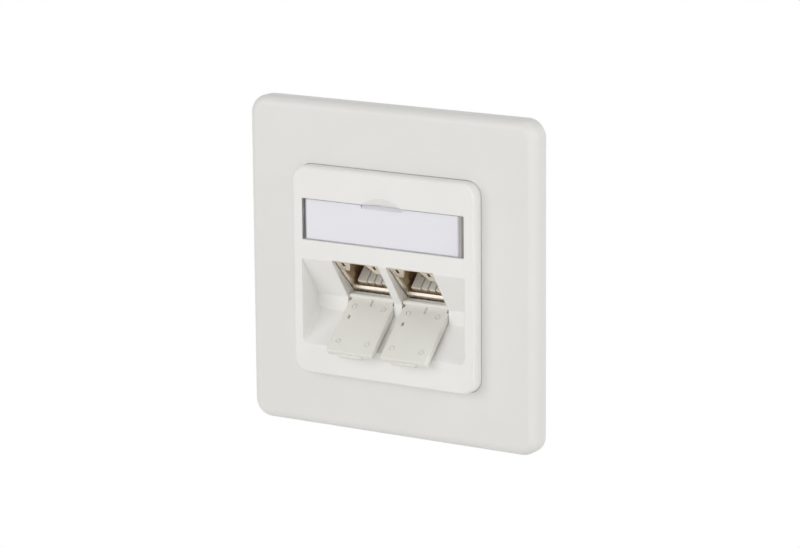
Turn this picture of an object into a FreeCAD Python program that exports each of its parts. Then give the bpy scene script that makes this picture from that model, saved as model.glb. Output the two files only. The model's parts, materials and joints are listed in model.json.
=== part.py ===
import FreeCAD, Part
import math
import os

# Ethernet wall socket: square cover frame, raised centre plate with a slanted two-port outlet, label
# window, die-cast support frame and two shielded jack modules, each behind a hinged dust flap.
# Millimetres. X runs right, Y into the wall, Z up. The origin is the plate's centre on the wall plane.

os.makedirs("parts", exist_ok=True)
V = FreeCAD.Vector
along_x = V(1, 0, 0)
along_y = V(0, 1, 0)

# Cover frame
frame_width = 80.0
frame_depth = 5.0
frame_corner = 4.5
frame_edge_round = 2.3
frame_wall = 1.6
ledge_thickness = 1.5
ledge_overlap = 0.8

# Centre plate
plate_width = 50.8
plate_rise = 3.25
plate_corner = 3.6
plate_chamfer = 0.5
plate_wall = 1.5
plate_gap = 0.1
plate_drop = 0.75

# Support frame and the wall box screws
support_margin = 2.9
support_thickness = 1.5
support_corner = 4.0
box_screw_spacing = 60.0
slot_radius = 1.8
slot_length = 7.0
sleeve_reach = 12.4
sleeve_wall = 1.4
support_clearance = 0.5

# Label window
window_margin = 2.8
window_height = 10.1
window_top = 16.8
window_depth = 1.3
lens_clearance = 0.1
lens_leg = 0.35
card_thickness = 0.3
card_clearance = 0.1
card_short = 0.5
nail_width = 11.4
nail_height = 1.9
nail_depth = 1.2
bevel_height = 0.85
bevel_depth = 0.6

# Cover screw
screw_radius = 1.45
screw_head_radius = 2.7
screw_head_height = 1.2
screw_clearance = 0.15
thread_clearance = 0.05
screw_tip_past_support = 0.3
screw_seat = 1.5
boss_wall = 1.7
cross_reach = 1.6
cross_width = 0.7
cross_depth = 0.6

# Slanted recess
recess_margin = 2.65
recess_depth = 6.95
fold_height = 2.0
slant_deg = 35.0
band_height = 3.5
floor_deg = 43.2
recess_round = 1.2
rib_clearance = 0.3
cheek_lap = 0.3
nose_clearance = 0.2

# Outlet apertures and flap hinges
port_pitch = 15.25
aperture_width = 13.05
aperture_above_fold = 0.2
aperture_reach = 4.7
aperture_below_hinge = 0.45
hinge_inward = 0.95
hinge_along = 12.3
hinge_wall = 0.6
knuckle_gap = 0.15
pin_radius = 0.45
pin_length = 0.9
pin_clearance = 0.05
pin_end_clearance = 0.1

# Dust flap
flap_width = 12.75
flap_length = 16.05
flap_thickness = 1.6
flap_set_off = 0.3
flap_neck = 0.9
flap_open_deg = 46.3
flap_clearance = 0.25
flap_corner = 0.3
flap_chamfer = 0.2
notch_clearance = 0.45
notch_width = 0.5
knuckle_radius = 0.65
tab_width = 6.8
tab_reach = 0.6
tab_thickness = 0.6
tab_corner = 0.4
slit_width = 0.6
slit_length = 1.75
slit_start = 0.6
slit_across = 0.2
slit_depth = 0.4
hole_width = 0.65
hole_length = 1.1
hole_across = -4.3
hole_down = 5.95
hole_depth = 0.9

# Jack module, measured from the middle of its mouth: in along the plug axis, and down its face
plug_deg = 45.0
mouth_inward = 5.52
mouth_drop = 4.56
module_width = 14.2
module_clearance = 0.1
nose_width = 12.7
nose_length = 2.0
nose_top = -6.7
body_top = -6.2
body_bottom = 6.6
housing_wall = 0.8
front_wall = 1.2
collar_length = 2.0
tail_length = 3.6
latch_bump = 0.5
latch_bump_width = 4.0
latch_bump_length = 0.8
jack_width = 11.7
jack_top = -2.95
jack_bottom = 4.15
lead_in = 0.5
key_foot_width = 7.4
key_head_width = 4.4
key_height = 3.35
front_slot_width = 0.75
front_slot_length = 1.6
front_slot_across = 4.4
front_slot_above = 2.425
insert_clearance = 0.05

# Shield spring under the jack's front lip
lip_height = 0.9
groove_margin = 0.3
groove_depth = 2.1
groove_wall = 0.3
spring_set_back = 0.1
spring_thickness = 0.25
spring_band = 0.75
finger_count = 7
finger_width = 0.55

# Contacts and their carrier
contact_count = 8
contact_pitch = 1.016
contact_width = 0.3
contact_thickness = 0.3
contact_bend = 0.55
contact_tip_along = 10.5
contact_tip_down = 0.5
front_bend_along = 5.6
rear_bend_along = 7.0
contact_run_down = 5.2
contact_slot_clearance = 0.06
contact_slot_floor = 0.25
comb_rise = 0.6
tongue_start = 1.5
tongue_margin = 1.65
tongue_length = 6.95
carrier_stop = 10.9
carrier_back = 2.0

# Board, terminals, wire manager and rear cap
board_thickness = 1.2
terminal_base = 1.8
terminal_height = 4.4
terminal_row = 3.0
terminal_columns = 4
terminal_pitch = 3.0
wire_slot = 1.0
wire_slot_depth = 3.0
blade_width = 2.2
blade_thickness = 0.4
blade_clearance = 0.03
blade_length = 4.0
fork_width = 0.35
fork_depth = 2.6
manager_gap = 0.1
manager_length = 4.5
manager_bore = 2.8
channel_depth = 1.4
cap_length = 12.5
cap_back_wall = 1.2
cap_chamfer = 0.8
cable_bore = 4.2
cable_collar_wall = 1.0
cable_collar_length = 4.0

# Places worked out from the sizes above
plate_front = frame_depth + plate_rise
support_width = frame_width - 2 * (frame_wall + support_margin)
window_width = plate_width - 2 * window_margin
recess_width = plate_width - 2 * recess_margin
support_front = -support_thickness
ledge_back = support_front
ledge_front = ledge_back - ledge_thickness
window_bottom = window_top - window_height
window_middle = (window_top + window_bottom) / 2
window_floor = -plate_front + window_depth
tray_back = window_floor + plate_wall
screw_shoulder = window_floor + screw_head_height + lens_clearance
boss_front = screw_shoulder + screw_seat
collar_end = sleeve_reach + collar_length
tail_end = collar_end + tail_length
carrier_end = carrier_stop + carrier_back
board_end = carrier_end + board_thickness
terminal_end = board_end + terminal_base + terminal_height
manager_start = terminal_end + manager_gap
cap_end = tail_end + cap_length
module_half = module_width / 2
nose_half = nose_width / 2
jack_half = jack_width / 2
inner_half = module_half - housing_wall
inner_top = body_top + housing_wall
inner_bottom = body_bottom - housing_wall
insert_half = inner_half - insert_clearance
insert_top = inner_top + insert_clearance
insert_bottom = inner_bottom - insert_clearance
body_middle = (body_top + body_bottom) / 2
groove_top = jack_bottom + lip_height
groove_half = nose_half - groove_margin
shelf_top = groove_top - groove_wall
shelf_back = groove_depth + groove_wall
carrier_top = jack_bottom - comb_rise
slant = math.radians(slant_deg)
plug_slant = math.radians(plug_deg)
mouth = V(0, -plate_front + mouth_inward, fold_height - mouth_drop)
recess_back = -plate_front + recess_depth
fold = (-plate_front, fold_height)
band_top = (recess_back, fold_height - recess_depth / math.tan(slant))
band_bottom = (recess_back, band_top[1] - band_height)
floor_drop = recess_depth / math.tan(math.radians(floor_deg))
recess_foot = (-plate_front, band_bottom[1] - floor_drop)
trough_radius = knuckle_radius + flap_clearance
knuckle_half = aperture_width / 2 - knuckle_gap
port_places = [("left", -port_pitch / 2), ("right", port_pitch / 2)]
contact_places = [(k - (contact_count - 1) / 2) * contact_pitch for k in range(contact_count)]
terminal_places = [(k - (terminal_columns - 1) / 2) * terminal_pitch for k in range(terminal_columns)]
terminal_rows = [insert_top, insert_bottom - terminal_row]


def block(x0, x1, y0, y1, z0, z1):
    return Part.makeBox(x1 - x0, y1 - y0, z1 - z0, V(x0, y0, z0))


def slab(half, near, far, top, bottom, middle=0.0):
    # box in a slanted frame: across, inward, and down the face
    return block(middle - half, middle + half, near, far, -bottom, -top)


def runs_along(edge, way):
    if not isinstance(edge.Curve, Part.Line):
        return False
    return abs(edge.tangentAt(edge.FirstParameter).dot(way)) > 0.999


def lies_at(edge, y):
    return all(abs(vertex.Y - y) < 1e-6 for vertex in edge.Vertexes)


def rounded_square(width, corner, y0, y1):
    solid = block(-width / 2, width / 2, y0, y1, -width / 2, width / 2)
    return solid.makeFillet(corner, [e for e in solid.Edges if runs_along(e, along_y)])


def prism(points, half):
    # outline of (y, z) points, extruded along X
    corners = [V(-half, y, z) for y, z in points]
    return Part.Face(Part.makePolygon(corners + corners[:1])).extrude(V(2 * half, 0, 0))


def cylinder_x(radius, x0, x1, centre):
    return Part.makeCylinder(radius, x1 - x0, V(x0, centre.y, centre.z), along_x)


def cylinder_y(radius, y0, y1, x, z):
    return Part.makeCylinder(radius, y1 - y0, V(x, y0, z), along_y)


def shifted(p, q, distance):
    # the line from p to q, moved to its left
    length = math.hypot(q[0] - p[0], q[1] - p[1])
    across = ((p[1] - q[1]) * distance / length, (q[0] - p[0]) * distance / length)
    return (p[0] + across[0], p[1] + across[1]), (q[0] + across[0], q[1] + across[1])


def height_at(line, y):
    (y0, z0), (y1, z1) = line
    return z0 + (z1 - z0) * (y - y0) / (y1 - y0)


def crossing(first, second):
    # where two lines in the (y, z) plane meet
    (y0, z0), (y1, z1) = first
    (y2, z2), (y3, z3) = second
    turn = (y1 - y0) * (z3 - z2) - (z1 - z0) * (y3 - y2)
    share = ((y2 - y0) * (z3 - z2) - (z2 - z0) * (y3 - y2)) / turn
    return y0 + share * (y1 - y0), z0 + share * (z1 - z0)


def ribbon(line, half):
    # closed outline of a strip of even thickness along a bent line
    sides = []
    for distance in (half, -half):
        runs = [shifted(p, q, distance) for p, q in zip(line, line[1:])]
        bends = [crossing(a, b) for a, b in zip(runs, runs[1:])]
        sides.append([runs[0][0]] + bends + [runs[-1][1]])
    return sides[0] + sides[1][::-1]


def on_slant(inward, down):
    # a point of the recess's slanted face, as (y, z)
    y = -plate_front + inward * math.cos(slant) + down * math.sin(slant)
    return y, fold_height + inward * math.sin(slant) - down * math.cos(slant)


def along_plug_axis(y, down):
    # how far in along the plug axis a line at this place down the face meets the plane y
    return (y - mouth.y - down * math.sin(plug_slant)) / math.cos(plug_slant)


hinge = V(0, *on_slant(hinge_inward, hinge_along))


def slant_placement():
    return FreeCAD.Placement(V(0, -plate_front, fold_height), FreeCAD.Rotation(along_x, slant_deg))


def module_placement(x):
    return FreeCAD.Placement(V(x, mouth.y, mouth.z), FreeCAD.Rotation(along_x, plug_deg))


def flap_placement(x):
    return FreeCAD.Placement(V(x, hinge.y, hinge.z), FreeCAD.Rotation(along_x, -flap_open_deg))


def placed(shape, placement):
    moved = shape.copy()
    moved.Placement = placement
    return moved


def cover_frame():
    opening = plate_width + 2 * plate_gap
    opening_corner = plate_corner + plate_gap
    ledge_opening = plate_width - 2 * ledge_overlap
    down = V(0, 0, -plate_drop)
    outside = rounded_square(frame_width, frame_corner, -frame_depth, 0)
    shell = outside.makeFillet(frame_edge_round, [e for e in outside.Edges if lies_at(e, -frame_depth)])
    inner_front = -frame_depth + frame_wall
    hollow = rounded_square(frame_width - 2 * frame_wall, frame_corner - frame_wall, inner_front, 0)
    collar = rounded_square(opening + 2 * frame_wall, opening_corner + frame_wall, inner_front, ledge_back)
    seat = rounded_square(opening, opening_corner, -frame_depth, ledge_front)
    through = rounded_square(ledge_opening, plate_corner, -frame_depth, 0)
    collar, seat, through = [shape.translated(down) for shape in (collar, seat, through)]
    return shell.cut(hollow).fuse(collar).cut(seat).cut(through).removeSplitter()


def recess_shell():
    embed = -plate_front + plate_wall / 2
    slant_back = shifted(fold, band_top, plate_wall)
    floor_back = shifted(band_bottom, recess_foot, plate_wall)
    band_back = recess_back + plate_wall
    outline = [
        (embed, height_at(slant_back, embed)),
        (band_back, height_at(slant_back, band_back)),
        (band_back, height_at(floor_back, band_back)),
        (embed, height_at(floor_back, embed)),
    ]
    return prism(outline, recess_width / 2 + plate_wall)


def beam_back():
    return hinge.y + trough_radius + hinge_wall


def hinge_beam():
    back = beam_back()
    rim = hinge_along + aperture_below_hinge
    rim_line = (on_slant(0, rim), on_slant(1, rim))
    foot = hinge.z - trough_radius - plate_wall
    outline = [rim_line[0], (back, height_at(rim_line, back)), (back, foot), (recess_back, foot)]
    return prism(outline, recess_width / 2 + plate_wall)


def sides_back():
    # past the foot of the modules' noses, so that no gap shows beside them
    nose_foot = mouth.y + body_bottom * math.sin(plug_slant)
    return max(beam_back(), nose_foot + cheek_lap)


def port_sides(half):
    # side wall of the ports, from the slanted wall back towards the support frame and down to the beam
    rib_back = support_front - support_clearance
    rib_step = height_at(shifted(fold, band_top, plate_wall), support_front) - support_clearance
    outline = [
        on_slant(plate_wall / 2, 0),
        (rib_back, fold_height),
        (rib_back, rib_step),
        (sides_back(), rib_step),
        (sides_back(), hinge.z - trough_radius),
        on_slant(plate_wall / 2, hinge_along + trough_radius),
    ]
    return prism(outline, half)


def port_ribs():
    near = port_pitch / 2 + module_half + rib_clearance
    middle = near + plate_wall / 2
    rib = port_sides(plate_wall / 2)
    return [rib.translated(V(x, 0, 0)) for x in (-middle, middle)]


def port_cheeks():
    # thick walls beside the ports, ahead of the modules' shoulders, that hold the flaps' pins
    half = port_pitch / 2 + module_half + rib_clearance + plate_wall
    shoulder = slab(frame_width, nose_length - rib_clearance, frame_width, -frame_width, frame_width)
    cheeks = port_sides(half).cut(placed(shoulder, module_placement(0)))
    nose_room_half, nose_room_top = nose_half + nose_clearance, nose_top - nose_clearance
    nose_room = slab(nose_room_half, -nose_clearance, nose_length, nose_room_top, frame_width)
    return cheeks.cut([placed(nose_room, module_placement(x)) for side, x in port_places])


def recess_void():
    ahead = -plate_front - plate_wall
    outline = [fold, band_top, band_bottom, recess_foot, (ahead, recess_foot[1]), (ahead, fold_height)]
    solid = prism(outline, recess_width / 2)
    floor_way = V(0, recess_foot[0] - band_bottom[0], recess_foot[1] - band_bottom[1]).normalize()
    return solid.makeFillet(recess_round, [e for e in solid.Edges if runs_along(e, floor_way)])


def outlet_cut():
    # one aperture with its flap's swing and hinge trough, in the plate's frame about x = 0
    half = aperture_width / 2
    rim = hinge_along + aperture_below_hinge
    aperture = slab(half, -recess_depth, aperture_reach, -aperture_above_fold, rim)
    flap_back = flap_set_off + flap_thickness + flap_clearance
    swing = [
        (-recess_depth, 0),
        (trough_radius, 0),
        (flap_back, -flap_neck),
        (flap_back, -flap_length),
        (-recess_depth, -flap_length),
    ]
    cut = placed(aperture, slant_placement()).fuse(placed(prism(swing, half), flap_placement(0)))
    pocket = knuckle_half + pin_length + pin_end_clearance
    pin_bore = cylinder_x(pin_radius + pin_clearance, -pocket, pocket, hinge)
    return cut.fuse([cylinder_x(trough_radius, -half, half, hinge), pin_bore])


def nail_scoop():
    # hollow that meets the plate's front in an arc and is nail_depth deep at the window's edge
    arc = (nail_width**2 / 4 + nail_height**2) / (2 * nail_height)
    edge = arc - nail_height
    ahead = (arc**2 - edge**2 - nail_depth**2) / (2 * nail_depth)
    ball = Part.makeSphere(math.hypot(arc, ahead), V(0, -plate_front - ahead, window_top - edge))
    above = block(-nail_width, nail_width, -plate_front - arc, 0, window_top, window_top + nail_height)
    return ball.common(above)


def cover_plate():
    down = V(0, 0, -plate_drop)
    outside = rounded_square(plate_width, plate_corner, -plate_front, ledge_front)
    shell = outside.makeChamfer(plate_chamfer, [e for e in outside.Edges if lies_at(e, -plate_front)])
    hollow_front = -plate_front + plate_wall
    hollow_width = plate_width - 2 * plate_wall
    hollow = rounded_square(hollow_width, plate_corner - plate_wall, hollow_front, ledge_front)
    half = window_width / 2
    tray_half = half + plate_wall
    tray_low, tray_high = window_bottom - plate_wall, window_top + plate_wall
    tray = block(-tray_half, tray_half, hollow_front, tray_back, tray_low, tray_high)
    head_radius = screw_head_radius + screw_clearance
    boss = cylinder_y(head_radius + boss_wall, tray_back, boss_front, 0, window_middle)
    behind = [tray, boss, recess_shell(), hinge_beam(), port_cheeks()]
    solid = shell.cut(hollow).translated(down).fuse(behind + port_ribs())
    pocket = block(-half, half, -plate_front, window_floor, window_bottom, window_top)
    head_room = cylinder_y(head_radius, window_floor, screw_shoulder, 0, window_middle)
    screw_way = cylinder_y(screw_radius + screw_clearance, screw_shoulder, boss_front, 0, window_middle)
    solid = solid.cut([pocket, head_room, screw_way, nail_scoop(), recess_void()])
    for side, x in port_places:
        solid = solid.cut(placed(outlet_cut(), FreeCAD.Placement(V(x, 0, 0), FreeCAD.Rotation())))
    return solid.removeSplitter()


def label_window():
    half = window_width / 2 - lens_clearance
    top = window_top - lens_clearance
    bottom = window_bottom + lens_clearance
    back = window_floor - card_thickness - card_clearance
    lens = block(-half, half, -plate_front, window_floor, bottom, top)
    lens = lens.cut(block(-half + lens_leg, half - lens_leg, back, window_floor, bottom, top))
    bevel = [(-plate_front, top - bevel_height), (-plate_front, top), (-plate_front + bevel_depth, top)]
    return lens.cut(prism(bevel, nail_width / 2))


def label_card():
    half = window_width / 2 - lens_clearance - lens_leg - card_clearance
    low, high = window_bottom + card_clearance, window_top - card_clearance
    # cut a little short, and pushed to the left
    return block(-half, half - card_short, window_floor - card_thickness, window_floor, low, high)


def cover_screw():
    tip = screw_tip_past_support
    head_front = screw_shoulder - screw_head_height
    head = cylinder_y(screw_head_radius, head_front, screw_shoulder, 0, window_middle)
    head = head.makeChamfer(screw_head_height / 4, [e for e in head.Edges if lies_at(e, head_front)])
    shank = cylinder_y(screw_radius, screw_shoulder, tip, 0, window_middle)
    screw = head.fuse(shank)
    for across, up in ((cross_reach, cross_width / 2), (cross_width / 2, cross_reach)):
        low, high = window_middle - up, window_middle + up
        screw = screw.cut(block(-across, across, head_front, head_front + cross_depth, low, high))
    return screw.removeSplitter()


def screw_slot(turn_deg):
    straight = slot_length / 2 - slot_radius
    middle = box_screw_spacing / 2
    slot = block(middle - straight, middle + straight, support_front, 0, -slot_radius, slot_radius)
    for end in (-straight, straight):
        slot = slot.fuse(cylinder_y(slot_radius, support_front, 0, middle + end, 0))
    slot.rotate(V(0, 0, 0), along_y, turn_deg)
    return slot


def sleeve_half():
    return port_pitch / 2 + module_half + module_clearance + sleeve_wall


def support_frame():
    ring = rounded_square(support_width, support_corner, support_front, 0)
    port_half = module_half + module_clearance
    port_top, port_bottom = body_top - module_clearance, body_bottom + module_clearance
    sleeve_bottom = port_bottom + sleeve_wall
    start = along_plug_axis(support_front, sleeve_bottom)
    sleeve = slab(sleeve_half(), start, sleeve_reach, port_top - sleeve_wall, sleeve_bottom)
    behind = block(-frame_width, frame_width, support_front, frame_width, -frame_width, frame_width)
    sleeve = placed(sleeve, module_placement(0)).common(behind)
    recess_half = recess_width / 2 + plate_wall + support_clearance
    slant_back = shifted(fold, band_top, plate_wall)
    floor_back = shifted(band_bottom, recess_foot, plate_wall)
    low = height_at(floor_back, support_front) - support_clearance
    high = height_at(slant_back, support_front) + support_clearance
    recess_room = block(-recess_half, recess_half, support_front, sides_back() + support_clearance, low, high)
    boss_radius = screw_radius + thread_clearance + boss_wall
    boss = cylinder_y(boss_radius, boss_front, support_front, 0, window_middle)
    solid = ring.fuse([sleeve, boss]).cut(recess_room)
    screw_end = screw_tip_past_support + thread_clearance
    solid = solid.cut(cylinder_y(screw_radius + thread_clearance, boss_front, screw_end, 0, window_middle))
    for side, x in port_places:
        port = slab(port_half, start, sleeve_reach, port_top, port_bottom)
        solid = solid.cut(placed(port, module_placement(x)))
    for turn_deg in (0, 90, 180, 270):
        solid = solid.cut(screw_slot(turn_deg))
    return solid.removeSplitter()


def lead_in_cut():
    # bevel round the sides and foot of the mouth that guides the plug in
    wires = []
    for depth, spread in ((0, lead_in), (lead_in, 0)):
        half, foot = jack_half + spread, -jack_bottom - spread
        corners = ((-half, -jack_top), (half, -jack_top), (half, foot), (-half, foot))
        wires.append(Part.makePolygon([V(x, depth, z) for x, z in corners + corners[:1]]))
    return Part.makeLoft(wires, True, True)


def key_way():
    # way for the plug's latch above the mouth, wider towards its foot
    head, foot = key_head_width / 2, key_foot_width / 2
    high, low = -jack_top + key_height, -jack_top
    corners = ((-head, high), (head, high), (foot, low), (-foot, low))
    outline = Part.makePolygon([V(x, 0, z) for x, z in corners + corners[:1]])
    return Part.Face(outline).extrude(V(0, front_wall, 0))


def jack_housing():
    collar_rim = sleeve_wall + module_clearance
    nose = slab(nose_half, 0, nose_length, nose_top, body_bottom)
    body = slab(module_half, nose_length, tail_end, body_top, body_bottom)
    collar = slab(module_half, sleeve_reach, collar_end, body_top - collar_rim, body_bottom + collar_rim)
    bump_back = along_plug_axis(support_front, body_top - module_clearance) - module_clearance
    bump = [
        (bump_back - latch_bump_length, -body_top),
        (bump_back, -body_top + latch_bump),
        (bump_back, -body_top),
    ]
    body = nose.fuse([body, collar, prism(bump, latch_bump_width / 2)])
    body_front = nose_length + housing_wall
    throat = slab(jack_half, front_wall, body_front, inner_top, shelf_top)
    hollow = slab(inner_half, body_front, tail_end, inner_top, shelf_top)
    low_hollow = slab(inner_half, max(shelf_back, body_front), tail_end, shelf_top, inner_bottom)
    mouth_way = slab(jack_half, 0, front_wall, jack_top, jack_bottom)
    groove = slab(groove_half, 0, groove_depth, groove_top, body_bottom)
    body = body.cut([throat, hollow, low_hollow, mouth_way, key_way(), lead_in_cut(), groove])
    # an upright slot through the front wall on each side of the key
    slot_middle = jack_top - front_slot_above
    slot_top, slot_bottom = slot_middle - front_slot_length / 2, slot_middle + front_slot_length / 2
    for x in (-front_slot_across, front_slot_across):
        body = body.cut(slab(front_slot_width / 2, 0, front_wall, slot_top, slot_bottom, x))
    return body.removeSplitter()


def shield_spring():
    back = spring_set_back + spring_thickness
    half = groove_half - insert_clearance
    top = groove_top + insert_clearance
    sheet = slab(half, spring_set_back, back, top, body_bottom - insert_clearance)
    pitch = (2 * half - finger_width) / (finger_count - 1)
    gap_half = (pitch - finger_width) / 2
    for k in range(finger_count - 1):
        middle = -half + finger_width / 2 + pitch * (k + 0.5)
        sheet = sheet.cut(slab(gap_half, spring_set_back, back, top + spring_band, body_bottom, middle))
    return sheet


def front_row(k):
    # every second contact bends further forward
    return k % 2 == 1


def contact_carrier():
    tongue_half = contact_places[-1] + tongue_margin
    tongue_end = tongue_start + tongue_length
    tongue = slab(tongue_half, tongue_start, tongue_end, carrier_top, shelf_top - insert_clearance)
    root_start = max(shelf_back, nose_length + housing_wall) + insert_clearance
    root = slab(tongue_half, root_start, tongue_end, carrier_top, insert_bottom)
    floor = slab(insert_half, tongue_end, carrier_end, jack_bottom, insert_bottom)
    stop = slab(insert_half, carrier_stop, carrier_end, insert_top, insert_bottom)
    solid = tongue.fuse([root, floor, stop])
    slot_half = contact_width / 2 + contact_slot_clearance
    slot_floor = insert_bottom - contact_slot_floor
    run_top = contact_run_down - contact_thickness
    for k, x in enumerate(contact_places):
        slot_start = tongue_start if front_row(k) else front_bend_along - contact_bend - contact_thickness
        solid = solid.cut(slab(slot_half, slot_start, carrier_stop, jack_top, slot_floor, x))
        solid = solid.cut(slab(slot_half, carrier_stop, carrier_end, run_top, slot_floor, x))
    return solid.removeSplitter()


def contact_spring(bend_along):
    # flat run from the board, a bend, and a springing arm back up into the jack
    run = -contact_run_down
    line = [
        (carrier_end, run),
        (bend_along, run),
        (bend_along - contact_bend, run + contact_bend),
        (bend_along, run + 2 * contact_bend),
        (contact_tip_along, -contact_tip_down),
    ]
    return prism(ribbon(line, contact_thickness / 2), contact_width / 2)


def contact_springs():
    springs = []
    for k, x in enumerate(contact_places):
        spring = contact_spring(front_bend_along if front_row(k) else rear_bend_along)
        springs.append(spring.translated(along_x * x))
    return Part.makeCompound(springs)


def circuit_board():
    return slab(insert_half, carrier_end, board_end, insert_top, insert_bottom)


def idc_block():
    solid = slab(insert_half, board_end, board_end + terminal_base, insert_top, insert_bottom)
    base = board_end + terminal_base
    for row in terminal_rows:
        solid = solid.fuse(slab(insert_half, base, terminal_end, row, row + terminal_row))
        blade_middle = row + terminal_row / 2
        for x in terminal_places:
            wire_start = terminal_end - wire_slot_depth
            wire = slab(wire_slot / 2, wire_start, terminal_end, row, row + terminal_row, x)
            blade_half = blade_width / 2 + blade_clearance
            depth = blade_thickness / 2 + blade_clearance
            blade = slab(blade_half, base, terminal_end, blade_middle - depth, blade_middle + depth, x)
            solid = solid.cut([wire, blade])
    return solid.removeSplitter()


def idc_blades():
    base = board_end + terminal_base
    blades = []
    for row in terminal_rows:
        middle = row + terminal_row / 2
        top, bottom = middle - blade_thickness / 2, middle + blade_thickness / 2
        for x in terminal_places:
            blade = slab(blade_width / 2, base, base + blade_length, top, bottom, x)
            fork_start = base + blade_length - fork_depth
            blades.append(blade.cut(slab(fork_width / 2, fork_start, base + blade_length, top, bottom, x)))
    return Part.makeCompound(blades)


def wire_manager():
    end = manager_start + manager_length
    solid = slab(insert_half, manager_start, end, insert_top, insert_bottom)
    solid = solid.cut(cylinder_y(manager_bore, manager_start, end, 0, -body_middle))
    for x in terminal_places:
        for top in (insert_top, insert_bottom - channel_depth):
            solid = solid.cut(slab(wire_slot / 2, manager_start, end, top, top + channel_depth, x))
    return solid


def rear_cap():
    body = slab(module_half, tail_end, cap_end, body_top, body_bottom)
    body = body.makeChamfer(cap_chamfer, [e for e in body.Edges if lies_at(e, cap_end)])
    collar_end_along = cap_end + cable_collar_length
    collar = cylinder_y(cable_bore + cable_collar_wall, cap_end, collar_end_along, 0, -body_middle)
    hollow = slab(inner_half, tail_end, cap_end - cap_back_wall, inner_top, inner_bottom)
    bore = cylinder_y(cable_bore, cap_end - cap_back_wall, collar_end_along, 0, -body_middle)
    return body.fuse(collar).cut([hollow, bore]).removeSplitter()


def dust_flap():
    # hangs down from its hinge axis; its inner face looks along -Y
    half = flap_width / 2
    face = flap_set_off
    back = face + flap_thickness
    outline = [(face, 0), (face, -flap_length), (back, -flap_length), (back, -flap_neck), (knuckle_radius, 0)]
    plate = prism(outline, half)
    foot = [e for e in plate.Edges if runs_along(e, along_y) and e.CenterOfMass.z < -flap_length / 2]
    plate = plate.makeFillet(flap_corner, foot)
    rim = [e for e in plate.Edges if lies_at(e, face) and e.CenterOfMass.z < -slit_start]
    plate = plate.makeChamfer(flap_chamfer, rim)
    # the upper corners are cut away around the knuckle
    axis = V(0, 0, 0)
    notch = trough_radius + notch_clearance
    plate = plate.cut([cylinder_x(notch, x, x + notch_width, axis) for x in (-half, half - notch_width)])
    knuckle = cylinder_x(knuckle_radius, -knuckle_half, knuckle_half, axis)
    pin_end = knuckle_half + pin_length
    pins = cylinder_x(pin_radius, -pin_end, pin_end, axis)
    tab_half = tab_width / 2
    tab_root = -flap_length + flap_chamfer
    tab = block(-tab_half, tab_half, back - tab_thickness, back, -flap_length - tab_reach, tab_root)
    tab_ends = [e for e in tab.Edges if runs_along(e, along_y) and e.CenterOfMass.z < tab_root]
    flap = plate.fuse([knuckle, pins, tab.makeFillet(tab_corner, tab_ends)])
    slit_left, slit_low = slit_across - slit_width / 2, -slit_start - slit_length
    slit = block(slit_left, slit_left + slit_width, face, face + slit_depth, slit_low, -slit_start)
    hole_left, hole_low = hole_across - hole_width / 2, -hole_down - hole_length / 2
    hole = block(hole_left, hole_left + hole_width, face, face + hole_depth, hole_low, hole_low + hole_length)
    return flap.cut([slit, hole]).removeSplitter()


fixed_pieces = {
    "cover_frame": cover_frame(),
    "cover_plate": cover_plate(),
    "label_window": label_window(),
    "label_card": label_card(),
    "cover_screw": cover_screw(),
    "support_frame": support_frame(),
}
module_pieces = {
    "jack_housing": jack_housing(),
    "shield_spring": shield_spring(),
    "contact_carrier": contact_carrier(),
    "contact_springs": contact_springs(),
    "circuit_board": circuit_board(),
    "idc_block": idc_block(),
    "idc_blades": idc_blades(),
    "wire_manager": wire_manager(),
    "rear_cap": rear_cap(),
}

for name, shape in fixed_pieces.items():
    shape.exportStep(f"parts/{name}.step")
flap = dust_flap()
for side, x in port_places:
    for name, shape in module_pieces.items():
        placed(shape, module_placement(x)).exportStep(f"parts/{side}_{name}.step")
    placed(flap, flap_placement(x)).exportStep(f"parts/{side}_dust_flap.step")
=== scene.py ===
import json
import math

import bpy
from mathutils import Matrix, Vector


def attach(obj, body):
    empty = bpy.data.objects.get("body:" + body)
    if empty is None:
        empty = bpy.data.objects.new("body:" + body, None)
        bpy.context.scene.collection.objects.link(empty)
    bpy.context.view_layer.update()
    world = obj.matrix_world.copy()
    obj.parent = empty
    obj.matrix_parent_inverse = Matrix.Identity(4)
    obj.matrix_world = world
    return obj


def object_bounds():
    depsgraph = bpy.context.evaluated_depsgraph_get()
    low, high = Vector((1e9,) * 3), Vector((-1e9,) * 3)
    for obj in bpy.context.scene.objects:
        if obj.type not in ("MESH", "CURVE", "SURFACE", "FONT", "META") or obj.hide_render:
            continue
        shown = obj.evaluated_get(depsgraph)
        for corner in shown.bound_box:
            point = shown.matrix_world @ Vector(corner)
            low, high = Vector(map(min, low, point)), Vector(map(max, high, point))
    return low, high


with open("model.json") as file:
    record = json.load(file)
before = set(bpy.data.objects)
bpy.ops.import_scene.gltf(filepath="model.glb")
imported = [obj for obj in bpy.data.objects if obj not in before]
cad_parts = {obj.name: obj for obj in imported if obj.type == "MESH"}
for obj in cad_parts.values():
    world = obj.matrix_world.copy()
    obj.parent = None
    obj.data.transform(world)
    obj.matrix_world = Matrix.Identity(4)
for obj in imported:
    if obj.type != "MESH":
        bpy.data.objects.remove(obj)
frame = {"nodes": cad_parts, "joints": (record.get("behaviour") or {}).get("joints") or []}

mm = 0.001
quarterTurn = math.radians(90)
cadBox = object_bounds()
print("frame loaded:", len(frame["nodes"]), "nodes")


def toLinear(hexColour):
    # the sRGB curve, with full alpha added
    parts = [int(hexColour[i:i + 2], 16) / 255 for i in (1, 3, 5)]
    return [c / 12.92 if c <= 0.04045 else ((c + 0.055) / 1.055) ** 2.4 for c in parts] + [1.0]


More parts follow.
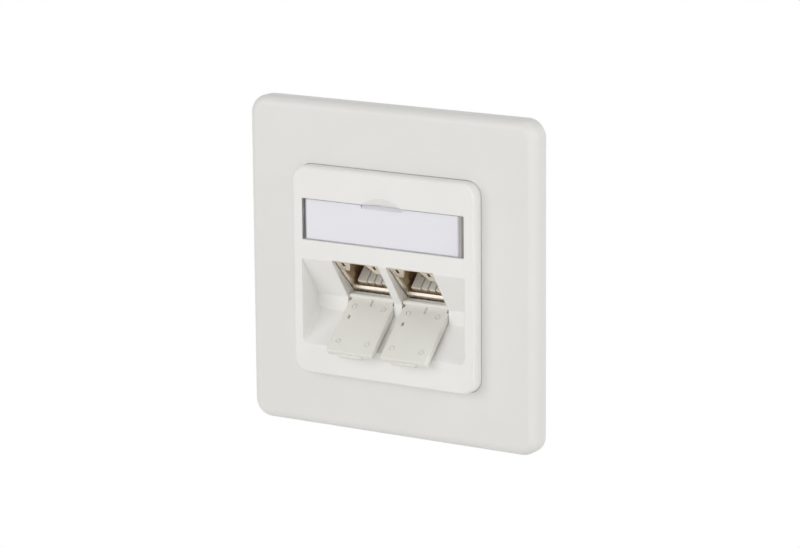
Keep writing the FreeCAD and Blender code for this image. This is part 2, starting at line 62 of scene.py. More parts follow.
def addNode(tree, kind, links=None, **settings):
    # links gives each socket, by name or by number, a plain value or another node's socket
    node = tree.nodes.new(kind)
    for name, value in settings.items():
        setattr(node, name, value)
    for name, value in (links or {}).items():
        if isinstance(value, bpy.types.NodeSocket):
            tree.links.new(value, node.inputs[name])
        else:
            node.inputs[name].default_value = value
    return node


def newMaterial(name):
    material = bpy.data.materials.new(name)
    material.use_nodes = True
    tree = material.node_tree
    tree.nodes.clear()
    shader = addNode(tree, "ShaderNodeBsdfPrincipled")
    output = addNode(tree, "ShaderNodeOutputMaterial", {"Surface": shader.outputs["BSDF"]})
    return material, tree, shader, output


def setStops(ramp, stops):
    elements = ramp.color_ramp.elements
    for position, _ in stops[2:]:  # a new ramp has two stops already
        elements.new(position)
    for element, (position, hexColour) in zip(elements, stops):
        element.position = position
        element.color = toLinear(hexColour)


# a colour Mix node's sockets go by number, because their names repeat for other kinds of data
colourMix = {"amount": 0, "first": 6, "second": 7, "result": 2}

# the two modules lie at a slant: a plug goes in upwards, from the mouth of the jack
modulePlace = {"mouthMm": (0, -2.73, -2.56), "tiltDeg": 45, "pitchMm": 15.25}


def moduleFrame():
    return (Matrix.Translation(Vector(modulePlace["mouthMm"]) * mm)
            @ Matrix.Rotation(math.radians(modulePlace["tiltDeg"]), 4, "X"))


def plugWay():
    return moduleFrame().to_3x3() @ Vector((0, 1, 0))


# real grain is a few hundredths of a millimetre, too fine to show, so it is drawn coarser here;
# noise keeps to the middle of its range, so tint and gloss are spread over that part
grainRule = {"low": 0.3, "high": 0.7, "depthShare": 0.2, "edgeSamples": 6}


def grainFinish(tree, shader, grain, look, glossSpread):
    gloss = addNode(tree, "ShaderNodeMapRange", {
        "Value": grain, "From Min": grainRule["low"], "From Max": grainRule["high"],
        "To Min": look["roughness"] - glossSpread, "To Max": look["roughness"] + glossSpread})
    edge = addNode(tree, "ShaderNodeBevel", {
        "Radius": look["edgeMm"] * mm}, samples=grainRule["edgeSamples"])
    bump = addNode(tree, "ShaderNodeBump", {
        "Height": grain, "Normal": edge.outputs["Normal"], "Strength": look["bump"],
        "Distance": look["grainMm"] * mm * grainRule["depthShare"]})
    tree.links.new(gloss.outputs["Result"], shader.inputs["Roughness"])
    tree.links.new(bump.outputs["Normal"], shader.inputs["Normal"])


# spark-eroded moulding: a fine matt grain, faint flow clouds, edges rounded by the tool
plasticGrain = {"cloudDetail": 2.0, "detail": 3.0, "glossSpread": 0.05}


def mouldedPlastic(name, look):
    material, tree, shader, _ = newMaterial(name)
    place = addNode(tree, "ShaderNodeTexCoord").outputs["Object"]
    clouds = addNode(tree, "ShaderNodeTexNoise", {
        "Vector": place, "Scale": 1 / (look["cloudMm"] * mm), "Detail": plasticGrain["cloudDetail"]})
    tint = addNode(tree, "ShaderNodeValToRGB", {"Fac": clouds.outputs["Fac"]})
    setStops(tint, [(grainRule["low"], look["shade"]), (grainRule["high"], look["colour"])])
    grain = addNode(tree, "ShaderNodeTexNoise", {
        "Vector": place, "Scale": 1 / (look["grainMm"] * mm), "Detail": plasticGrain["detail"]})
    grainFinish(tree, shader, grain.outputs["Fac"], look, plasticGrain["glossSpread"])
    tree.links.new(tint.outputs["Color"], shader.inputs["Base Color"])
    shader.inputs["IOR"].default_value = look["ior"]
    return material


# painted shade that grows with the depth behind the jack's mouth, measured along the plug's way in
def tintByDepth(tree, place, colour, paintedShadeDepths):
    inward = plugWay()
    mouth = (Vector(modulePlace["mouthMm"]) * mm).dot(inward)
    first = paintedShadeDepths[0][0]
    last = paintedShadeDepths[-1][0]
    depth = addNode(tree, "ShaderNodeVectorMath", {0: place, 1: inward}, operation="DOT_PRODUCT")
    reach = addNode(tree, "ShaderNodeMapRange", {
        "Value": depth.outputs["Value"], "From Min": mouth + first * mm, "From Max": mouth + last * mm})
    paintedShadeRamp = addNode(tree, "ShaderNodeValToRGB", {"Fac": reach.outputs["Result"]})
    setStops(paintedShadeRamp, [((depthMm - first) / (last - first), hexColour) for depthMm, hexColour in paintedShadeDepths])
    mixed = addNode(tree, "ShaderNodeMix", {
        colourMix["amount"]: 1.0, colourMix["first"]: colour, colourMix["second"]: paintedShadeRamp.outputs["Color"]},
        data_type="RGBA", blend_type="MULTIPLY")
    return mixed.outputs[colourMix["result"]]


# metal: the grain of casting, plating or rolling, drawn out along one direction where it was rolled
metalGrain = {"detail": 4.0, "glossSpread": 0.08}


def metalSurface(name, look):
    material, tree, shader, _ = newMaterial(name)
    place = addNode(tree, "ShaderNodeTexCoord").outputs["Object"]
    drawn = addNode(tree, "ShaderNodeMapping", {"Vector": place, "Scale": look["drawn"]})
    grain = addNode(tree, "ShaderNodeTexNoise", {
        "Vector": drawn.outputs["Vector"], "Scale": 1 / (look["grainMm"] * mm),
        "Detail": metalGrain["detail"]})
    tint = addNode(tree, "ShaderNodeValToRGB", {"Fac": grain.outputs["Fac"]})
    setStops(tint, [(grainRule["low"], look["shade"]), (grainRule["high"], look["colour"])])
    colour = tint.outputs["Color"]
    # painted shade inside the jack, darker with depth behind the mouth
    if "paintedShadeDepths" in look:
        colour = tintByDepth(tree, place, colour, look["paintedShadeDepths"])
    grainFinish(tree, shader, grain.outputs["Fac"], look, metalGrain["glossSpread"])
    tree.links.new(colour, shader.inputs["Base Color"])
    shader.inputs["Metallic"].default_value = 1.0
    return material


# ASA from a spark-eroded mould: even white with a soft sheen and no mirror image
frameLook = {"colour": "#E6E5E2", "shade": "#E4E3E0", "cloudMm": 14, "grainMm": 0.3, "edgeMm": 0.22,
             "bump": 0.12, "roughness": 0.45, "ior": 1.53}
framePlastic = mouldedPlastic("satin_moulded_asa_frame", frameLook)

# the same ASA in the plate, a shade lighter and softer at its edges
plateLook = {"colour": "#EFEEEB", "shade": "#EDECE9", "cloudMm": 14, "grainMm": 0.3, "edgeMm": 0.3,
             "bump": 0.12, "roughness": 0.45, "ior": 1.53}
platePlastic = mouldedPlastic("satin_moulded_asa_plate", plateLook)

# the same ASA in the flaps, a touch creamier and crisper at its edges
flapLook = {"colour": "#E9E8E2", "shade": "#E7E6DF", "cloudMm": 8, "grainMm": 0.25, "edgeMm": 0.15,
            "bump": 0.15, "roughness": 0.45, "ior": 1.53}
flapPlastic = mouldedPlastic("satin_moulded_asa_flap", flapLook)

# ASA where the ejector pins rubbed it: rougher, and a fine line darker than the face, painted shade for the
# step round each mark
markLook = {"colour": "#DAD8D0", "shade": "#D5D3CA", "cloudMm": 8, "grainMm": 0.25, "edgeMm": 0.05,
            "bump": 0.15, "roughness": 0.5, "ior": 1.53}
markPlastic = mouldedPlastic("burnished_asa_painted_shade", markLook)

# moulded PBT: milky, with little gloss
combLook = {"colour": "#F2F0E8", "shade": "#ECEAE1", "cloudMm": 2, "grainMm": 0.2, "edgeMm": 0.08,
            "bump": 0.12, "roughness": 0.5, "ior": 1.55}
combPlastic = mouldedPlastic("moulded_pbt_comb", combLook)

# moulded glass-filled nylon: near black and matt
terminalLook = {"colour": "#2B2C2E", "shade": "#242527", "cloudMm": 3, "grainMm": 0.2, "edgeMm": 0.1,
                "bump": 0.15, "roughness": 0.5, "ior": 1.55}
terminalPlastic = mouldedPlastic("moulded_glass_filled_nylon", terminalLook)

# moulded polycarbonate: pale cool grey with a soft sheen
managerLook = {"colour": "#D9DADB", "shade": "#D2D3D4", "cloudMm": 4, "grainMm": 0.2, "edgeMm": 0.1,
               "bump": 0.15, "roughness": 0.45, "ior": 1.55}
managerPlastic = mouldedPlastic("moulded_polycarbonate", managerLook)

# painted shadow for the gaps beside the noses: dark brown strips, pitted, with no gloss
shadowStripLook = {"colour": "#3B3128", "shade": "#2E261F", "cloudMm": 0.6, "grainMm": 0.12, "edgeMm": 0.04,
            "bump": 0.4, "roughness": 0.85, "ior": 1.45}
shadowStripPaint = mouldedPlastic("painted_shadow_strip", shadowStripLook)

# die-cast zinc, left bare: a dull mottled grey
castZincLook = {"colour": "#B4B5B5", "shade": "#9FA0A1", "grainMm": 0.5, "edgeMm": 0.2, "drawn": (1, 1, 1),
                "bump": 0.25, "roughness": 0.48}
castZinc = metalSurface("die_cast_zinc", castZincLook)

# nickel plating on cast zinc: bright and warm at the lip; painted shade makes it darker and browner deeper
# inside the mouth
nickelShellLook = {"colour": "#F2E9DB", "shade": "#E4D9C8", "grainMm": 0.3, "edgeMm": 0.1,
                   "drawn": (1, 1, 1), "bump": 0.12, "roughness": 0.32,
                   "paintedShadeDepths": [(-1, "#FFFFFF"), (0.5, "#FFFFFF"), (1.3, "#DDCEB8"), (9, "#DDCEB8"),
                              (11, "#D4D9DF")]}
nickelShell = metalSurface("nickel_plated_zinc_shell", nickelShellLook)

# nickel plating on the caps: satin, with a faint warm tone
nickelCapLook = {"colour": "#C9C6C0", "shade": "#B7B4AE", "grainMm": 0.4, "edgeMm": 0.2, "drawn": (1, 1, 1),
                 "bump": 0.18, "roughness": 0.4}
nickelCap = metalSurface("nickel_plated_zinc_cap", nickelCapLook)

# rolled nickel silver: warm and bright, streaked along the strip
springStripLook = {"colour": "#E3D8C6", "shade": "#D2C6B2", "grainMm": 0.2, "edgeMm": 0.04,
                   "drawn": (0.1, 1, 1), "bump": 0.1, "roughness": 0.3}
springStrip = metalSurface("rolled_nickel_silver_strip", springStripLook)

# gold plating on drawn bronze wire: yellow, smooth and bright
goldLook = {"colour": "#E2B765", "shade": "#CFA253", "grainMm": 0.15, "edgeMm": 0.03, "drawn": (1, 0.2, 1),
            "bump": 0.08, "roughness": 0.25}
goldPlate = metalSurface("gold_plated_bronze", goldLook)

# tin plating on bronze strip: a soft grey-white shine
tinLook = {"colour": "#C6C3BD", "shade": "#B3B0AA", "grainMm": 0.15, "edgeMm": 0.03, "drawn": (1, 0.2, 1),
           "bump": 0.08, "roughness": 0.35}
tinPlate = metalSurface("tin_plated_bronze", tinLook)

# zinc plating on steel: light cool grey with small bright glints
screwLook = {"colour": "#C3C4C4", "shade": "#AEB0B1", "grainMm": 0.2, "edgeMm": 0.08, "drawn": (1, 1, 1),
             "bump": 0.1, "roughness": 0.3}
zincSteel = metalSurface("zinc_plated_steel", screwLook)

# clear acrylic, moulded and polished: the card shows through with a faint ripple; painted shade greys it at
# both ends, darker at the left, where its end legs stand behind it; a painted shadow line runs along its
# lower edge, and it is matt on the bevel for a nail
clearLensLook = {"colour": "#FBFCFC", "ior": 1.49, "roughness": 0.03, "halfMm": 22.5,
                 "paintedShadeBands": [(-22.5, "#6E6F71"), (-21.75, "#7C7D7F"), (-21.6, "#FBFCFC"), (21.0, "#FBFCFC"),
                           (21.1, "#7E7C7B"), (21.25, "#BDBAB8"), (22.15, "#BDBAB8"), (22.35, "#7E7C7B")],
                 "nail": "#E6E5E9", "nailHalfMm": 5.85, "nailDropMm": 0.95, "nailRoughness": 0.5,
                 "cut": "#B6B5B8", "cutMm": 0.26,
                 "rippleMm": 9, "rippleDetail": 1.0, "rippleBump": 0.05, "rippleDepthMm": 0.1}


def clearAcrylic(name, look, lowEdge, topEdge):
    material, tree, shader, output = newMaterial(name)
    place = addNode(tree, "ShaderNodeTexCoord").outputs["Object"]
    axes = addNode(tree, "ShaderNodeSeparateXYZ", {"Vector": place}).outputs
    half = look["halfMm"]
    across = addNode(tree, "ShaderNodeMapRange", {
        "Value": axes["X"], "From Min": -half * mm, "From Max": half * mm})
    # painted shade in bands at both ends of the lens
    tint = addNode(tree, "ShaderNodeValToRGB", {"Fac": across.outputs["Result"]})
    setStops(tint, [((placeMm / half + 1) / 2, hexColour) for placeMm, hexColour in look["paintedShadeBands"]])
    inside = addNode(tree, "ShaderNodeMath", {
        0: axes["X"], 1: 0.0, 2: look["nailHalfMm"] * mm}, operation="COMPARE")
    above = addNode(tree, "ShaderNodeMath", {
        0: axes["Z"], 1: topEdge - look["nailDropMm"] * mm}, operation="GREATER_THAN")
    nail = addNode(tree, "ShaderNodeMath", {
        0: inside.outputs["Value"], 1: above.outputs["Value"]}, operation="MULTIPLY").outputs["Value"]
    # a painted shadow line along the lens's lower edge
    cut = addNode(tree, "ShaderNodeMath", {
        0: axes["Z"], 1: lowEdge + look["cutMm"] * mm}, operation="LESS_THAN").outputs["Value"]
    colour = tint.outputs["Color"]
    for amount, hexColour in ((nail, look["nail"]), (cut, look["cut"])):
        mixed = addNode(tree, "ShaderNodeMix", {
            colourMix["amount"]: amount, colourMix["first"]: colour,
            colourMix["second"]: toLinear(hexColour)}, data_type="RGBA")
        colour = mixed.outputs[colourMix["result"]]
    gloss = addNode(tree, "ShaderNodeMapRange", {
        "Value": nail, "To Min": look["roughness"], "To Max": look["nailRoughness"]})
    ripple = addNode(tree, "ShaderNodeTexNoise", {
        "Vector": place, "Scale": 1 / (look["rippleMm"] * mm), "Detail": look["rippleDetail"]})
    bump = addNode(tree, "ShaderNodeBump", {
        "Height": ripple.outputs["Fac"], "Strength": look["rippleBump"],
        "Distance": look["rippleDepthMm"] * mm})
    tree.links.new(colour, shader.inputs["Base Color"])
    tree.links.new(gloss.outputs["Result"], shader.inputs["Roughness"])
    tree.links.new(bump.outputs["Normal"], shader.inputs["Normal"])
    shader.inputs["Transmission Weight"].default_value = 1.0
    shader.inputs["IOR"].default_value = look["ior"]
    # lamp light passes straight through to the card behind
    rays = addNode(tree, "ShaderNodeLightPath").outputs
    lampLight = addNode(tree, "ShaderNodeMath", {
        0: rays["Is Shadow Ray"], 1: rays["Is Diffuse Ray"]}, operation="MAXIMUM")
    through = addNode(tree, "ShaderNodeBsdfTransparent", {"Color": toLinear(look["colour"])})
    surface = addNode(tree, "ShaderNodeMixShader", {
        0: lampLight.outputs["Value"], 1: shader.outputs["BSDF"], 2: through.outputs["BSDF"]})
    tree.links.new(surface.outputs["Shader"], output.inputs["Surface"])
    return material


lensHeights = [corner[2] for corner in frame["nodes"]["label_window"].bound_box]
lensAcrylic = clearAcrylic("polished_clear_acrylic", clearLensLook, min(lensHeights), max(lensHeights))

# uncoated card: short fibres, no gloss
cardLook = {"colour": "#F8F4FB", "shade": "#F4F0F7", "fibreMm": 0.35, "fibreDetail": 5.0, "fibreCurl": 1.5,
            "bump": 0.3, "bumpMm": 0.03, "roughness": 0.85}


def uncoatedCard(name, look):
    material, tree, shader, _ = newMaterial(name)
    place = addNode(tree, "ShaderNodeTexCoord").outputs["Object"]
    fibres = addNode(tree, "ShaderNodeTexNoise", {
        "Vector": place, "Scale": 1 / (look["fibreMm"] * mm), "Detail": look["fibreDetail"],
        "Distortion": look["fibreCurl"]})
    tint = addNode(tree, "ShaderNodeValToRGB", {"Fac": fibres.outputs["Fac"]})
    setStops(tint, [(0.0, look["shade"]), (1.0, look["colour"])])
    bump = addNode(tree, "ShaderNodeBump", {
        "Height": fibres.outputs["Fac"], "Strength": look["bump"], "Distance": look["bumpMm"] * mm})
    tree.links.new(tint.outputs["Color"], shader.inputs["Base Color"])
    tree.links.new(bump.outputs["Normal"], shader.inputs["Normal"])
    shader.inputs["Roughness"].default_value = look["roughness"]
    return material


labelCard = uncoatedCard("uncoated_card", cardLook)

# glass-epoxy board: solder resist over a woven glass cloth, green with a fine even relief
boardLook = {"colour": "#1F5B38", "shade": "#184A2D", "weaveMm": 0.5, "unevenness": 0.15,
             "bump": 0.2, "bumpMm": 0.05, "roughness": 0.35}


def glassEpoxy(name, look):
    material, tree, shader, _ = newMaterial(name)
    place = addNode(tree, "ShaderNodeTexCoord").outputs["Object"]
    weave = addNode(tree, "ShaderNodeTexVoronoi", {
        "Vector": place, "Scale": 1 / (look["weaveMm"] * mm), "Randomness": look["unevenness"]})
    tint = addNode(tree, "ShaderNodeValToRGB", {"Fac": weave.outputs["Distance"]})
    setStops(tint, [(0.0, look["colour"]), (1.0, look["shade"])])
    bump = addNode(tree, "ShaderNodeBump", {
        "Height": weave.outputs["Distance"], "Strength": look["bump"], "Distance": look["bumpMm"] * mm})
    tree.links.new(tint.outputs["Color"], shader.inputs["Base Color"])
    tree.links.new(bump.outputs["Normal"], shader.inputs["Normal"])
    shader.inputs["Roughness"].default_value = look["roughness"]
    return material


boardLaminate = glassEpoxy("glass_epoxy_laminate", boardLook)

socketFinishes = {"cover_frame": framePlastic, "cover_plate": platePlastic, "label_window": lensAcrylic,
                  "label_card": labelCard, "cover_screw": zincSteel, "support_frame": castZinc}
moduleFinishes = {"jack_housing": nickelShell, "shield_spring": springStrip, "contact_carrier": combPlastic,
                  "contact_springs": goldPlate, "circuit_board": boardLaminate,
                  "idc_block": terminalPlastic, "idc_blades": tinPlate, "wire_manager": managerPlastic,
                  "rear_cap": nickelCap, "dust_flap": flapPlastic}

for side in ("left", "right"):
    for piece, material in moduleFinishes.items():
        socketFinishes[side + "_" + piece] = material
for nodeName, material in socketFinishes.items():
    for materialSlot in frame["nodes"][nodeName].material_slots:
        materialSlot.material = material
print("finishes set on", len(socketFinishes), "nodes")


def newTree(name, sizes):
    tree = bpy.data.node_groups.new(name, "GeometryNodeTree")
    for size, kind in {**sizes, "Finish": "NodeSocketMaterial"}.items():
        tree.interface.new_socket(name=size, in_out="INPUT", socket_type=kind)
    tree.interface.new_socket(name="Geometry", in_out="OUTPUT", socket_type="NodeSocketGeometry")
    given = addNode(tree, "NodeGroupInput").outputs
    return tree, given


def closeTree(tree, given, geometry):
    whole = addNode(tree, "GeometryNodeRealizeInstances", {"Geometry": geometry})
    painted = addNode(tree, "GeometryNodeSetMaterial", {
        "Geometry": whole.outputs["Geometry"], "Material": given["Finish"]})
    addNode(tree, "NodeGroupOutput", {"Geometry": painted.outputs["Geometry"]})
    return tree


def growPiece(name, tree, values, placement):
    # the tree's result becomes a plain mesh with its place in its points
    holder = bpy.data.objects.new(name + "_holder", bpy.data.meshes.new(name + "_empty"))
    bpy.context.scene.collection.objects.link(holder)
    modifier = holder.modifiers.new("grow", "NODES")
    modifier.node_group = tree
    for socket in tree.interface.items_tree:
        if socket.in_out == "INPUT":
            modifier[socket.identifier] = values[socket.name]
    depsgraph = bpy.context.evaluated_depsgraph_get()
    mesh = bpy.data.meshes.new_from_object(holder.evaluated_get(depsgraph))
    holder.modifiers.remove(modifier)
    bpy.data.objects.remove(holder)
    mesh.name = name
    mesh.transform(placement)
    piece = bpy.data.objects.new(name, mesh)
    bpy.context.scene.collection.objects.link(piece)
    return piece


# a ring bent from a thin round line, and how many sides each of the two has
ringSizes = {"Ring Radius": "NodeSocketFloat", "Line Radius": "NodeSocketFloat"}
ringSides = {"Ring Radius": 32, "Line Radius": 8}


def ringWire(tree, given):
    ring, line = [
        addNode(tree, "GeometryNodeCurvePrimitiveCircle", {"Radius": given[size], "Resolution": sideCount})
        for size, sideCount in ringSides.items()]
    wire = addNode(tree, "GeometryNodeCurveToMesh", {
        "Curve": ring.outputs["Curve"], "Profile Curve": line.outputs["Curve"]})
    return wire.outputs["Mesh"]


def ringValues(piece):
    return {"Ring Radius": piece["radiusMm"] * mm, "Line Radius": piece["lineMm"] * mm}


def ringsAt(tree, given, places):
    rings = addNode(tree, "GeometryNodeInstanceOnPoints", {
        "Points": places.outputs["Mesh"], "Instance": ringWire(tree, given)})
    return rings.outputs["Instances"]


# a row of shapes, and the whole row again at each place of a second row
rowSizes = {"Count": "NodeSocketInt", "First": "NodeSocketVector", "Step": "NodeSocketVector",
            "Outer Count": "NodeSocketInt", "Outer First": "NodeSocketVector",
            "Outer Step": "NodeSocketVector"}


def spreadInRows(tree, given, shape):
    for row in ("", "Outer "):
        points = addNode(tree, "GeometryNodeMeshLine", {
            "Count": given[row + "Count"], "Start Location": given[row + "First"],
            "Offset": given[row + "Step"]})
        shape = addNode(tree, "GeometryNodeInstanceOnPoints", {
            "Points": points.outputs["Mesh"], "Instance": shape}).outputs["Instances"]
    return shape


def rowValues(inner, outer):
    values = {}
    for row, (count, first, step) in (("", inner), ("Outer ", outer)):
        values[row + "Count"] = count
        values[row + "First"] = Vector(first) * mm
        values[row + "Step"] = Vector(step) * mm
    return values


def pairAcross(halfMm, inwardMm=0, upMm=0):
    # a row of two, left and right of the middle
    return 2, (-halfMm, inwardMm, upMm), (2 * halfMm, 0, 0)


def rowInward(piece):
    return piece["count"], (0, piece["firstMm"], 0), (0, piece["stepMm"], 0)


def keep(piece, body):
    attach(piece, body)
    print(piece.name, "made")


halfPitch = modulePlace["pitchMm"] / 2
bothPorts = pairAcross(halfPitch)

# ejector marks on the inner face of each flap: four fine rings standing on the face
ringMarks = {"acrossMm": 8.2, "nearMm": 2.95, "farMm": 13.05, "radiusMm": 0.6, "lineMm": 0.14,
             "faceMm": 0.3, "tiltDeg": 46.3}


def ringMarkTree():
    tree, given = newTree("ring_marks", {
        "Across": "NodeSocketFloat", "Along": "NodeSocketFloat", **ringSizes})
    corners = addNode(tree, "GeometryNodeMeshGrid", {
        "Size X": given["Across"], "Size Y": given["Along"], "Vertices X": 2, "Vertices Y": 2})
    return closeTree(tree, given, ringsAt(tree, given, corners))


ringTree = ringMarkTree()
for joint in frame["joints"]:
    side = joint["child"].split("_")[0]
    # the grid lies in the flap's plane: across is x, along runs down from the hinge
    middle = (ringMarks["nearMm"] + ringMarks["farMm"]) / 2 * mm
    placement = (Matrix.Translation(Vector(joint["pos_m"]))
                 @ Matrix.Rotation(math.radians(-ringMarks["tiltDeg"]), 4, "X")
                 @ Matrix.Translation((0, ringMarks["faceMm"] * mm, -middle))
                 @ Matrix.Rotation(quarterTurn, 4, "X"))
    marks = growPiece(side + "_flap_ring_marks", ringTree, {
        "Across": ringMarks["acrossMm"] * mm, "Along": (ringMarks["farMm"] - ringMarks["nearMm"]) * mm,
        **ringValues(ringMarks), "Finish": markPlastic}, placement)
    keep(marks, joint["child"])

# side walls of the two ports, carried on behind the plate's cheeks to the modules' shoulders;
# their outline is drawn in x and y, which become the socket's y and z
portWalls = {"nearMm": 6.57, "thickMm": 0.55,
             "cornersMm": {"Corner A": (-1.95, -0.75), "Corner B": (-1.95, -5.47),
                           "Corner C": (2.15, -5.47), "Corner D": (2.15, -4.85)}}


def portWallTree():
    corners = portWalls["cornersMm"]
    tree, given = newTree("port_walls", {
        **rowSizes, **{name: "NodeSocketVector" for name in corners}, "Thickness": "NodeSocketFloat"})
    outline = addNode(tree, "GeometryNodeCurvePrimitiveQuadrilateral", {
        "Point " + str(number): given[name] for number, name in enumerate(corners, 1)}, mode="POINTS")
    face = addNode(tree, "GeometryNodeFillCurve", {"Curve": outline.outputs["Curve"]}).outputs["Mesh"]
    across = addNode(tree, "ShaderNodeCombineXYZ", {"Z": given["Thickness"]})
    far = addNode(tree, "GeometryNodeExtrudeMesh", {
        "Mesh": face, "Offset": across.outputs["Vector"], "Offset Scale": 1.0})
    near = addNode(tree, "GeometryNodeFlipFaces", {"Mesh": face})
    wall = addNode(tree, "GeometryNodeJoinGeometry")
    for half in (far, near):
        tree.links.new(half.outputs["Mesh"], wall.inputs["Geometry"])
    return closeTree(tree, given, spreadInRows(tree, given, wall.outputs["Geometry"]))


def portWallValues():
    near = portWalls["nearMm"]
    thick = portWalls["thickMm"]
    values = rowValues((2, (0, 0, -near - thick), (0, 0, 2 * near + thick)),
                       (2, (0, 0, -halfPitch), (0, 0, 2 * halfPitch)))
    for name, (forward, upward) in portWalls["cornersMm"].items():
        values[name] = (forward * mm, upward * mm, 0)
    values["Thickness"] = thick * mm
    values["Finish"] = platePlastic
    return values


sideways = Matrix(((0, 0, 1, 0), (1, 0, 0, 0), (0, 1, 0, 0), (0, 0, 0, 1)))
sideWalls = growPiece("port_side_walls", portWallTree(), portWallValues(), sideways)
keep(sideWalls, "socket")

# dark strips of painted shadow in the gaps beside the two noses
noseShadowStrips = {"middleMm": 6.45, "sizeMm": (0.16, 0.65, 11.5), "inwardMm": 0.28, "upMm": -0.15}


def gasketTree():
    tree, given = newTree("nose_shadow_strips", {**rowSizes, "Size": "NodeSocketVector"})
    strip = addNode(tree, "GeometryNodeMeshCube", {"Size": given["Size"]})
    return closeTree(tree, given, spreadInRows(tree, given, strip.outputs["Mesh"]))


besideNose = pairAcross(noseShadowStrips["middleMm"], noseShadowStrips["inwardMm"], noseShadowStrips["upMm"])
shadowStrips = growPiece("nose_shadow_strips", gasketTree(), {
    **rowValues(besideNose, bothPorts), "Size": Vector(noseShadowStrips["sizeMm"]) * mm,
    "Finish": shadowStripPaint}, moduleFrame())
keep(shadowStrips, "socket")

# finger ridges on the outer sides of the rear caps
capRidges = {"outMm": 14.725, "firstMm": 20.5, "stepMm": 1.6, "count": 5, "lengthMm": 7.5, "radiusMm": 0.3,
             "sideCount": 12}


def ridgeTree():
    tree, given = newTree("cap_ridges", {
        **rowSizes, "Length": "NodeSocketFloat", "Radius": "NodeSocketFloat"})
    bar = addNode(tree, "GeometryNodeMeshCylinder", {
        "Vertices": capRidges["sideCount"], "Radius": given["Radius"], "Depth": given["Length"]})
    return closeTree(tree, given, spreadInRows(tree, given, bar.outputs["Mesh"]))


ridges = growPiece("cap_ridges", ridgeTree(), {
    **rowValues(rowInward(capRidges), pairAcross(capRidges["outMm"])), "Length": capRidges["lengthMm"] * mm,
    "Radius": capRidges["radiusMm"] * mm, "Finish": nickelCap}, moduleFrame())
keep(ridges, "socket")

# beads round the cable collars, to hold the ties of the cables' shields
collarBeads = {"radiusMm": 5.2, "lineMm": 0.22, "firstMm": 31.7, "stepMm": 1.5, "count": 2}


def beadTree():
    tree, given = newTree("collar_beads", {**rowSizes, **ringSizes})
    upright = addNode(tree, "GeometryNodeTransform", {
        "Geometry": ringWire(tree, given), "Rotation": (quarterTurn, 0, 0)})
    return closeTree(tree, given, spreadInRows(tree, given, upright.outputs["Geometry"]))


beads = growPiece("collar_beads", beadTree(), {
    **rowValues(rowInward(collarBeads), bothPorts), **ringValues(collarBeads),
    "Finish": nickelCap}, moduleFrame())
keep(beads, "socket")

# marks of the ejector pins on the back of the cast support frame
castMarks = {"count": 8, "circleMm": 30, "radiusMm": 1.6, "lineMm": 0.1, "turnDeg": 22.5}


def castMarkTree():
    tree, given = newTree("cast_marks", {
        "Count": "NodeSocketInt", "Circle Radius": "NodeSocketFloat", **ringSizes})
    circle = addNode(tree, "GeometryNodeMeshCircle", {
        "Vertices": given["Count"], "Radius": given["Circle Radius"]})
    return closeTree(tree, given, ringsAt(tree, given, circle))


facingBack = (Matrix.Rotation(quarterTurn, 4, "X")
              @ Matrix.Rotation(math.radians(castMarks["turnDeg"]), 4, "Z"))
pinMarks = growPiece("cast_marks", castMarkTree(), {
    "Count": castMarks["count"], "Circle Radius": castMarks["circleMm"] * mm, **ringValues(castMarks),
    "Finish": castZinc}, facingBack)
keep(pinMarks, "socket")

# studio: white all round for the eye, softer light for the object
studio = {"white": "#FFFFFF", "ambient": 0.37, "ambientTint": "#FFFFFF", "floorDropMm": 220,
          "floorWidthMm": 6000, "floorColour": "#E9E8E6", "floorRoughness": 0.9}
# lamps face the object from places in metres
lamps = {
    "key_softbox": {"place": (-0.58, -1.0, 0.36), "width": 0.9, "watts": 4.9, "colour": "#FFFFFF"},
    "fill_softbox": {"place": (0.32, -0.95, 0.0), "width": 0.8, "watts": 2.3, "colour": "#FFFFFF"},
    "side_softbox": {"place": (1.2, 0.0, 0.5), "width": 0.8, "watts": 7.0, "colour": "#FFFFFF"},
    "back_softbox": {"place": (-0.35, 1.05, -0.3), "width": 0.9, "watts": 4.5, "colour": "#FFFFFF"},
}


def seenDirectly(tree):
    rays = addNode(tree, "ShaderNodeLightPath").outputs
    eyeOrMirror = addNode(tree, "ShaderNodeMath", {
        0: rays["Is Camera Ray"], 1: rays["Is Glossy Ray"]}, operation="MAXIMUM")
    orGlass = addNode(tree, "ShaderNodeMath", {
        0: eyeOrMirror.outputs["Value"], 1: rays["Is Transmission Ray"]}, operation="MAXIMUM")
    return orGlass.outputs["Value"]


def makeWorld():
    world = bpy.data.worlds.new("white_studio")
    world.use_nodes = True
    tree = world.node_tree
    tree.nodes.clear()
    soft = addNode(tree, "ShaderNodeBackground", {
        "Color": toLinear(studio["ambientTint"]), "Strength": studio["ambient"]})
    white = addNode(tree, "ShaderNodeBackground", {"Color": toLinear(studio["white"]), "Strength": 1.0})
    mixed = addNode(tree, "ShaderNodeMixShader", {
        0: seenDirectly(tree), 1: soft.outputs["Background"], 2: white.outputs["Background"]})
    addNode(tree, "ShaderNodeOutputWorld", {"Surface": mixed.outputs["Shader"]})
    bpy.context.scene.world = world


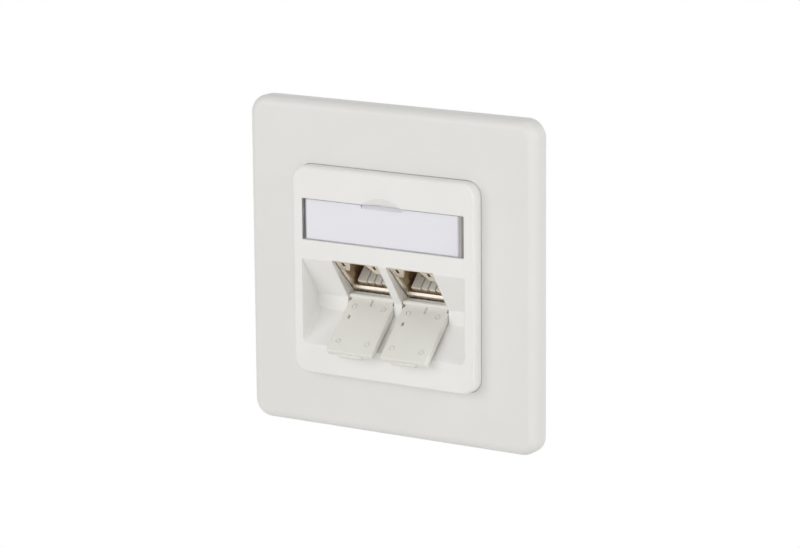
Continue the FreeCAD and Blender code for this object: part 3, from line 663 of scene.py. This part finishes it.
def makeFloor():
    half = studio["floorWidthMm"] * mm / 2
    corners = [(-half, -half, 0), (half, -half, 0), (half, half, 0), (-half, half, 0)]
    mesh = bpy.data.meshes.new("studio_floor")
    mesh.from_pydata(corners, [], [(0, 1, 2, 3)])
    floor = bpy.data.objects.new("studio_floor", mesh)
    bpy.context.scene.collection.objects.link(floor)
    floor.location.z = cadBox[0].z - studio["floorDropMm"] * mm
    material, tree, shader, output = newMaterial("painted_floor")
    shader.inputs["Base Color"].default_value = toLinear(studio["floorColour"])
    shader.inputs["Roughness"].default_value = studio["floorRoughness"]
    white = addNode(tree, "ShaderNodeEmission", {"Color": toLinear(studio["white"]), "Strength": 1.0})
    mixed = addNode(tree, "ShaderNodeMixShader", {
        0: seenDirectly(tree), 1: shader.outputs["BSDF"], 2: white.outputs["Emission"]})
    tree.links.new(mixed.outputs["Shader"], output.inputs["Surface"])
    mesh.materials.append(material)


def makeLamps():
    for name, lamp in lamps.items():
        light = bpy.data.lights.new(name, "AREA")
        light.shape = "SQUARE"
        light.size = lamp["width"]
        light.energy = lamp["watts"]
        light.color = toLinear(lamp["colour"])[:3]
        holder = bpy.data.objects.new(name, light)
        bpy.context.scene.collection.objects.link(holder)
        holder.location = lamp["place"]
        holder.rotation_euler = (-Vector(lamp["place"])).to_track_quat("-Z", "Y").to_euler()


# the photograph's view: a long lens from the right and a little above, with lengths in metres
cameraView = {"azimuthDeg": 32.29, "elevationDeg": 12.45, "rollDeg": -0.46, "distance": 0.83129,
              "aim": (-0.00018, 0.0, -0.00095), "focalPixels": 3479.18, "imageWidth": 800,
              "sensorMm": 36.0, "nearest": 0.01}


def makeCamera():
    azimuth = math.radians(cameraView["azimuthDeg"])
    elevation = math.radians(cameraView["elevationDeg"])
    roll = math.radians(cameraView["rollDeg"])
    back = Vector((math.sin(azimuth) * math.cos(elevation),
                   -math.cos(azimuth) * math.cos(elevation),
                   math.sin(elevation)))
    level = Vector((math.cos(azimuth), math.sin(azimuth), 0))
    upright = back.cross(level)
    right = math.cos(roll) * level + math.sin(roll) * upright
    up = math.cos(roll) * upright - math.sin(roll) * level
    data = bpy.data.cameras.new("photo_camera")
    data.sensor_width = cameraView["sensorMm"]
    data.lens = cameraView["focalPixels"] * cameraView["sensorMm"] / cameraView["imageWidth"]
    data.clip_start = cameraView["nearest"]
    camera = bpy.data.objects.new("photo_camera", data)
    bpy.context.scene.collection.objects.link(camera)
    place = Vector(cameraView["aim"]) + back * cameraView["distance"]
    camera.matrix_world = Matrix.Translation(place) @ Matrix((right, up, back)).transposed().to_4x4()
    bpy.context.scene.camera = camera


makeWorld()
makeFloor()
makeLamps()
makeCamera()
bpy.context.scene.view_settings.view_transform = "Standard"
print("studio and camera ready")
